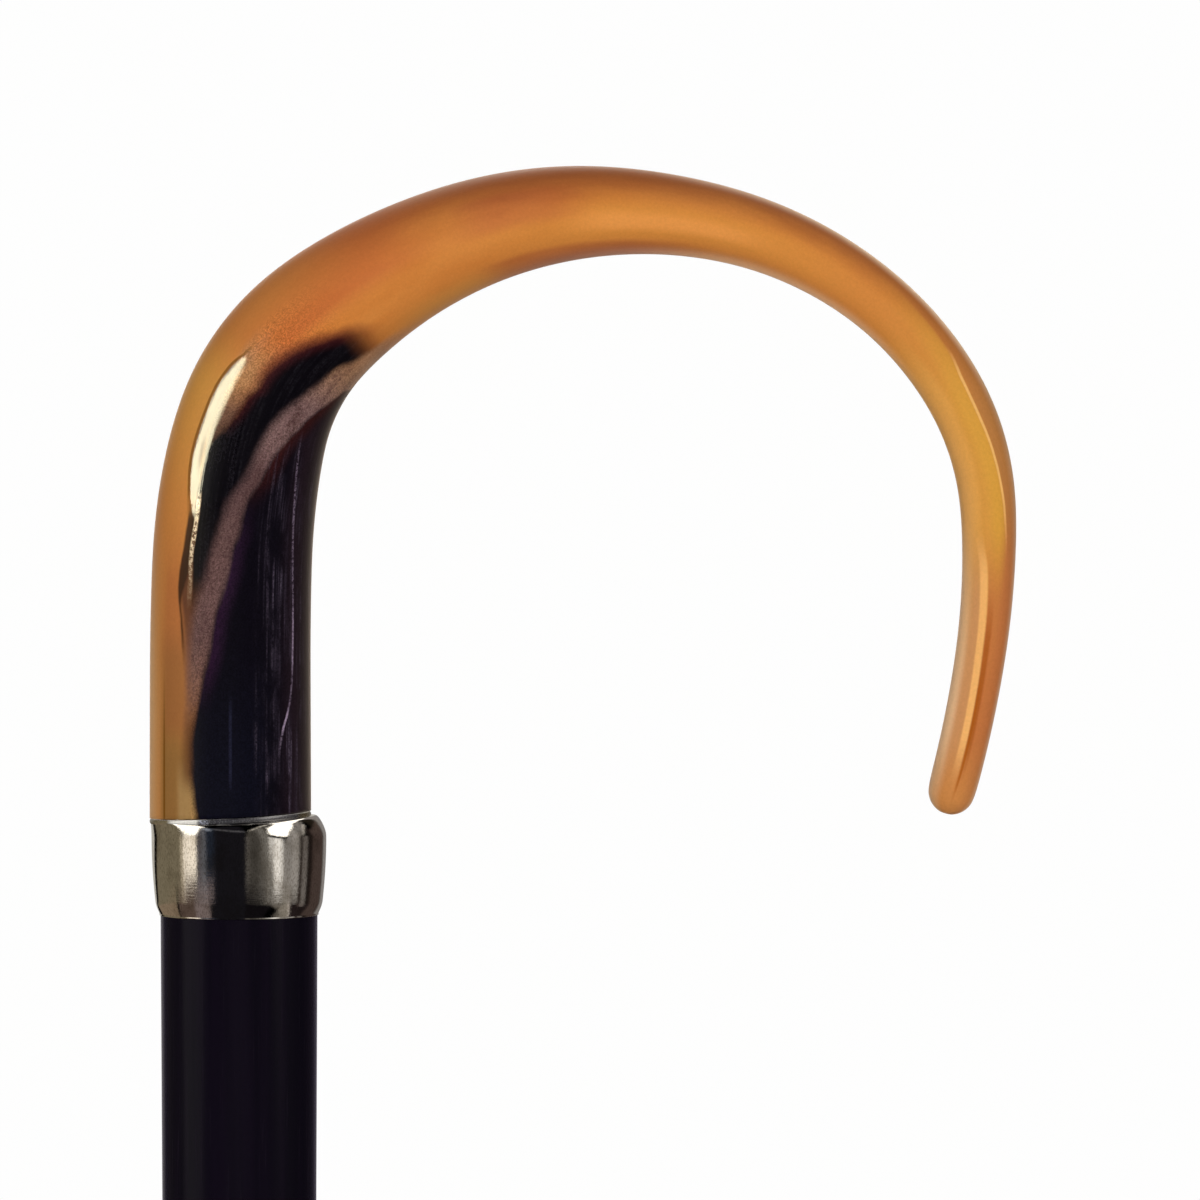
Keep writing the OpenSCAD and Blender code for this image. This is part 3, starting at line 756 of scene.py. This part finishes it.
# Two brads driven in from opposite sides, made along z with the head at the top and laid down
brad = {"d": 1.6, "length": 4.5, "point": 0.9, "dome": 0.06, "z": 31.0, "sides": 24, "ease": 0.03}
nail = [(-brad["length"], 0.2), (brad["point"] - brad["length"], brad["d"]), (0, brad["d"]),
        (brad["dome"] * 0.7, brad["d"] * 0.6), (brad["dome"], brad["d"] * 0.2)]
brads = pullRings("brass_brads", upright(nail), brad["sides"])
closeTube(brads)
pick(brads)
bpy.ops.object.mode_set(mode="EDIT")
bpy.ops.mesh.select_all(action="SELECT")
turnSelected((0, 0, 0), math.radians(90), "X")
bpy.ops.transform.translate(value=(0, -brass["d"] / 2 * mm, brad["z"] * mm))
bpy.ops.mesh.duplicate()
turnSelected((0, 0, 0), math.radians(180), "Z")
bpy.ops.object.mode_set(mode="OBJECT")
easeEdges(brads, brad["ease"])
dress(brads, brassFinish("pin_brass", rgb(206, 168, 90), rgb(120, 88, 40), 0), "ferrule_pins")
print("shaft, ferrule, plug and brads made")

# The two solids that stay hidden inside keep their own meshes
inside = {
    "joint_stud": plainFinish("turned_steel", rgb(160, 160, 162), rgb(120, 120, 122), 1.0, 0.3),
    "collar_packing": plainFinish("hard_cement", rgb(70, 56, 44), rgb(50, 40, 32), 0.0, 0.7),
}
for node, finish in inside.items():
    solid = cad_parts[node]
    solid.data.materials.clear()
    solid.data.materials.append(finish)

# The studio: a pale sweep, painted walls for the reflections and soft lights
studio = {"floorR": 5.5, "bowlR": 1.5, "bowlTop": 5, "middle": (0.0463, 0, 0.8446)}
startFresh()
bpy.ops.mesh.primitive_circle_add(vertices=96, radius=studio["floorR"], fill_type="NGON")
sweep = bpy.context.object
sweep.name = "studio_sweep"
bpy.ops.object.mode_set(mode="EDIT")
last = (studio["floorR"], 0)
for a in range(15, 91, 15):
    r = studio["floorR"] + studio["bowlR"] * math.sin(math.radians(a))
    z = studio["bowlR"] * (1 - math.cos(math.radians(a)))
    bpy.ops.mesh.extrude_region_move(TRANSFORM_OT_translate={"value": (0, 0, z - last[1])})
    bpy.ops.transform.resize(value=(r / last[0], r / last[0], 1), center_override=(0, 0, 0))
    last = (r, z)
bpy.ops.mesh.extrude_region_move(TRANSFORM_OT_translate={"value": (0, 0, studio["bowlTop"])})
bpy.ops.mesh.delete(type="ONLY_FACE")
bpy.ops.object.mode_set(mode="OBJECT")
bpy.ops.object.shade_smooth()
f = Finish("pale_sweep")
far = f.node("VectorMath", {"operation": "LENGTH"}, {0: f.objectPlace()}, out=1).rise(0.6, 3)
matt = f.node("BsdfDiffuse", None, {"Color": (0.8, 0.8, 0.79, 1)})
glow = f.node("Emission", None, {"Color": (0.99, 0.99, 0.988, 1), "Strength": 1.0})
sweep.data.materials.append(f.finishAs(f.node("MixShader", None, {0: far, 1: matt, 2: glow})))
sweep.visible_glossy = False
sweep.visible_shadow = False
sweep.visible_diffuse = False

world = bpy.data.worlds.new("studio")
bpy.context.scene.world = world
w = Finish("studio", world)
wx, wy, wz = w.split(w.node("TexCoord", out=0))
azimuth = wx.maths("ARCTAN2", wy * -1) * (180 / math.pi)
height = wz.maths("ARCSINE") * (180 / math.pi)


# An edge of a wall: one place all along, or a line through (place along it, place), in degrees
def edge(line, along):
    if not isinstance(line, list):
        return line
    points = [(a + 180, b + 180) for a, b in line]
    points = [(0, points[0][1])] * (points[0][0] > 0) + points + [(360, points[-1][1])] * (points[-1][0] < 360)
    return w.curve(along + 180, 360, points, straight=True) - 180


def panel(left, right, low, high, soft):
    return ((azimuth - edge(left, height)).rise(-soft, soft) * (edge(right, height) - azimuth).rise(-soft, soft)
            * (height - edge(low, azimuth)).rise(-soft, soft) * (edge(high, azimuth) - height).rise(-soft, soft))


# What the polished surfaces see, as (left, right, low, high, edge softness, brightness, colour).
# 0 is the camera's side, angles grow to the right and up
lozengeTop = [(45, 11), (47.4, 31.7), (56.8, 51.9), (90, 63), (143, 67.5)]
greyTop = [(13, 8), (15.5, 27.7), (21, 43.5), (37, 57), (45, 62), (60, 68.9), (90, 72), (150, 72)]
greyFoot = [(13, -13.5), (25, -14.5), (35, -15), (44.5, -17)]
rightGreyTop = [(64, -5), (66.5, -3.8), (69.6, 4.2), (80.6, 28.9), (91, 37), (112, 47.4), (130, 50)]
rightGreyLow = [(91, 5.7), (104, 22.3), (119.5, 34.5), (130, 38)]
# upright lines on the curled foot of the collar bend away below the horizon
bandTop = [(-81, -1.2), (-73.6, 0.3), (-63.9, 2), (-54.6, 3.7)]
leftNotch = [(-40, -111.5), (-30, -99.2), (-20, -93.3), (-12, -91)]
leftFold = [(-51, -82.7), (-37, -68.6), (-24, -63.1), (-12, -60.8)]
blackLeft = [(-58, -55.7), (-41, -43.5), (-26, -39.4), (-15, -38), (-14, -30), (80, -30)]
rightFold = [(-45, 99.6), (-33, 86.2), (-22, 80.2), (-12, 78)]
walls = [
    # left of the collar, from its edge inwards
    (-180, [(-10, -163), (-6, -154), (-2.5, -144)], -50, 60, 2, 0.6, (236, 232, 222)),
    ([(-10, -152), (-6, -141), (-2.5, -131)], -79, -11.5, 34, 1.5, 0.3, (204, 190, 158)),
    (-150, [(a, b - 2.5) for a, b in leftNotch], -50, -11.5, 1, 0.33, (216, 190, 160)),
    (-81, -74, -12, -0.5, 2, 0.4, (246, 232, 206)),
    (-76, -55, -10.3, bandTop, 0.7, 0.82, (248, 238, 222)),
    (-71, -55, -9.5, bandTop, 2, 0.3, (248, 238, 222)),
    ([(a, b + 2) for a, b in leftNotch], leftFold, -50, -11, 0.8, 0.17, (206, 176, 160)),
    (leftFold, blackLeft, -50, -12.2, 0.8, 0.3, (206, 186, 184)),
    (-55, -48, -13, 25, 1, 0.16, (200, 194, 204)),
    (-48, -41, -13, 25, 1.5, 0.19, (196, 198, 208)),
    (-43, -30, -13, 40, 4, 0.06, (140, 158, 196)),
    (-46, -34, 21, 33, 2.5, 0.35, (206, 216, 234)),
    (-32, 13, 30, 39, 2.5, 0.1, (216, 216, 226)),
    (blackLeft, 12.7, -60, 80, 1, 0.016, (186, 180, 206)),
    (12.7, 50, -60, -12.5, 1, 0.01, (186, 170, 190)),
    # the grey left of the right lozenge, with a bright rim
    (12.7, 45, greyFoot, greyTop, 0.7, 0.08, (218, 210, 198)),
    (32, 45, -12.5, greyTop, 6, 0.15, (220, 216, 208)),
    (12.7, 17, -13, 12, 1, 0.05, (224, 214, 212)),
    (45, 150, lozengeTop, greyTop, 1, 0.1, (216, 208, 196)),
    (20, 100, [(13, 5), (21, 40), (37, 54.5), (60, 66.5), (100, 69)], greyTop, 0.8, 0.6, (246, 240, 228)),
    # the bright strip under it
    (43, 64.5, [(43, -5.6), (46, -6.5), (50, -7.5), (53, -12.5), (65, -12.5)], [(42, 12), (50, 9), (56, 6), (66, 2)],
     0.8, 0.62, (240, 237, 232)),
    (51, 61, -13, [(42, 12), (50, 9), (56, 6), (66, 2)], 3.5, 0.45, (240, 238, 234)),
    (43, 53, -13.5, -5.5, 1, 0.2, (232, 229, 222)),
    (63.5, 91, -13.2, rightGreyTop, 0.8, 0.31, (228, 222, 216)),
    (78, 91, -13.2, rightGreyTop, 3, 0.09, (228, 222, 216)),
    (91, 130, rightGreyLow, rightGreyTop, 0.8, 0.27, (228, 222, 216)),
    (40, rightFold, [(40, -14), (48, -16), (57, -26), (66, -36), (80, -46)], -12.8, 5, 0.2, (216, 206, 192)),
    (66, rightFold, -50, -12.8, 2, 0.13, (230, 220, 204)),
    ([(a, b - 3) for a, b in rightFold], rightFold, -50, -14, 1, 0.4, (230, 220, 214)),
    # the thin light line, and the brown beyond it
    (97, 107, -20, 8, 0.8, 0.22, (218, 208, 202)),
    (99, 121, [(99, 8), (104, 17), (112, 26), (121, 30)], [(99, 13), (104, 22.3), (112, 30.5), (121, 34.5)],
     1, 0.55, (250, 244, 234)),
    (91, 97, -20, 20, 0.8, 0.03, (210, 170, 150)),
    (rightFold, 118, -50, -14, 1, 0.035, (190, 160, 160)),
    (108, 118, -14, 60, 1, 0.03, (190, 160, 150)),
    (118, 150, -50, 20, 3, 0.1, (206, 176, 166)),
    (130, 170, 12, 50, 6, 0.03, (196, 176, 150)),
    (152, 180, -50, 60, 5, 0.35, (220, 214, 210)),
    # the two white cloths overhead that give the lozenges on the shoulder
    (-180, -44, [(-180, 18), (-171, 32.5), (-152, 47.2), (-127, 48.9), (-100, 36), (-96.4, 31.2), (-90, 14),
                 (-84.6, 6), (-81.4, 4.8), (-74, 2.2), (-72.5, 1), (-63.4, 2.8), (-54.2, 5.4), (-52.5, 10.1),
                 (-48.5, 26.4), (-46, 40), (-44, 55)],
     [(-180, 40), (-162, 52), (-150, 59), (-137, 64), (-115, 66), (-93, 64), (-80, 59), (-66, 52.3), (-44, 42)],
     0.8, 2.4, (255, 252, 244)),
    (44, 179, [(45, 24), (52, 19), (59, 13.5), (70.2, 11), (80.6, 28.9), (112, 47.4), (150, 44), (176, 25.3)],
     lozengeTop + [(165, 45), (178.6, 18.5)], 0.8, 2, (255, 252, 244)),
]
seen = None
for left, right, low, high, soft, brightness, colour in walls:
    lit = w.node("Emission", None, {"Color": rgb(*colour),
                                    "Strength": panel(left, right, low, high, soft) * brightness})
    seen = lit if seen is None else w.node("AddShader", None, {0: seen, 1: lit})
ambient = w.node("Emission", None, {"Color": (0.98, 0.98, 1.0), "Strength": 0.22})
glossy = w.node("LightPath", out=3)
w.finishAs(w.node("MixShader", None, {0: glossy, 1: ambient, 2: seen}), "OutputWorld")


def wayTo(azimuthDeg, heightDeg):
    a, e = math.radians(azimuthDeg), math.radians(heightDeg)
    return Vector((math.sin(a) * math.cos(e), -math.cos(a) * math.cos(e), math.sin(e)))


def areaLamp(name, size, power):
    light = bpy.data.lights.new(name, "AREA")
    light.shape = "RECTANGLE"
    light.size = light.size_y = size
    light.energy = power
    holder = bpy.data.objects.new(name, light)
    bpy.context.scene.collection.objects.link(holder)
    holder.visible_camera = False
    return holder


def softbox(name, azimuthDeg, heightDeg, distance, size, power):
    holder = areaLamp(name, size, power)
    way = wayTo(azimuthDeg, heightDeg)
    holder.location = Vector(studio["middle"]) + way * distance
    holder.rotation_euler = way.to_track_quat("Z", "Y").to_euler()
    holder.visible_glossy = False


softbox("front", 0, 5, 2.5, 1.3, 38)
softbox("below", 0, -40, 2.5, 1.3, 16)
softbox("left", -80, 15, 2.5, 1.4, 11)
softbox("right", 80, 15, 2.5, 1.4, 10)
softbox("back", 180, 25, 2.8, 1.8, 46)

# The window that only the horn reflects. Its left and right edges, as (angle round, height), give
# the leaf-shaped highlight on the leg
window = {
    "left": [(-62.4, 0.6), (-59, 1), (-60, 1.6), (-58.9, 2.4), (-59.8, 3.5), (-59.8, 4.6), (-63.7, 5.5),
             (-64.6, 6.5), (-70, 7.9), (-73, 9.7), (-76.5, 11.4), (-77.5, 12.9), (-76.6, 13.9), (-74.6, 15.6),
             (-72.9, 18.5), (-71.2, 21.2), (-69.4, 23.5), (-66.9, 25.7), (-62.2, 27.1), (-55.7, 28.1)],
    "right": [(-56, 0.5), (-54, 0.9), (-53.6, 1.5), (-53, 2.5), (-53, 3.6), (-54, 4.5), (-54.6, 5.5),
              (-54.8, 6.5), (-54.8, 8.4), (-54.6, 9.6), (-54, 10.2), (-53, 11.2), (-51.5, 12.1), (-49.5, 13.7),
              (-47.5, 15.8), (-45, 17.5), (-43.5, 19.1), (-43.5, 21.7), (-43, 23.4), (-45.2, 26.3), (-50.5, 28)],
    "from": (-0.001, 0, 0.865), "middle": (-60, 14.5), "distance": 4, "size": 3, "strength": 15,
    "colour": (255, 247, 206), "soft": 0.002,
}
paneLamp = areaLamp("window", window["size"], window["strength"] * 4 * window["size"] ** 2)
facing = wayTo(*window["middle"])
turn = facing.to_track_quat("Z", "Y")
paneLamp.location = Vector(window["from"]) + facing * window["distance"]
paneLamp.rotation_euler = turn.to_euler()


# An edge of the window on the lamp's face, as (share of its height, share of its width)
def onPane(side):
    spots = []
    for corner in window[side]:
        way = wayTo(*corner)
        spot = way * (window["distance"] / way.dot(facing) / window["size"])
        spots.append((spot.dot(turn @ Vector((0, 1, 0))) + 0.5, spot.dot(turn @ Vector((1, 0, 0))) + 0.5, True))
    spots.sort()
    return [(0, spots[0][1], True)] + spots + [(1, spots[-1][1], True)], spots[0][0], spots[-1][0]


f = Finish("window_light", paneLamp.data)
across, upward, _ = f.split(f.node("NewGeometry", out=5))
(leftLine, leftLow, leftHigh), (rightLine, rightLow, rightHigh) = onPane("left"), onPane("right")
soft = window["soft"]
leaf = ((across - f.node("FloatCurve", {"curve": leftLine}, {"Value": upward})).rise(-soft, soft)
        * (f.node("FloatCurve", {"curve": rightLine}, {"Value": upward}) - across).rise(-soft, soft)
        * upward.rise(min(leftLow, rightLow) - soft, min(leftLow, rightLow) + soft)
        * upward.fall(max(leftHigh, rightHigh) - soft, max(leftHigh, rightHigh) + soft))
f.finishAs(f.node("Emission", None, {"Color": rgb(*window["colour"]), "Strength": leaf}), "OutputLight")
receivers = bpy.data.collections.new("window_lights")
receivers.objects.link(crook)
paneLamp.light_linking.receiver_collection = receivers
paneLamp.visible_diffuse = False

camera = bpy.data.cameras.new("photo_view")
camera.lens = 180
camera.sensor_width = 36
camera.clip_start, camera.clip_end = 0.01, 60
eye = bpy.data.objects.new("photo_view", camera)
bpy.context.scene.collection.objects.link(eye)
eye.location = (0.0463, -0.769, 0.857)
aim = Vector(studio["middle"]) - eye.location
eye.rotation_euler = aim.to_track_quat("-Z", "Y").to_euler()
bpy.context.scene.camera = eye
bpy.context.scene.view_settings.view_transform = "Standard"
print("studio set")
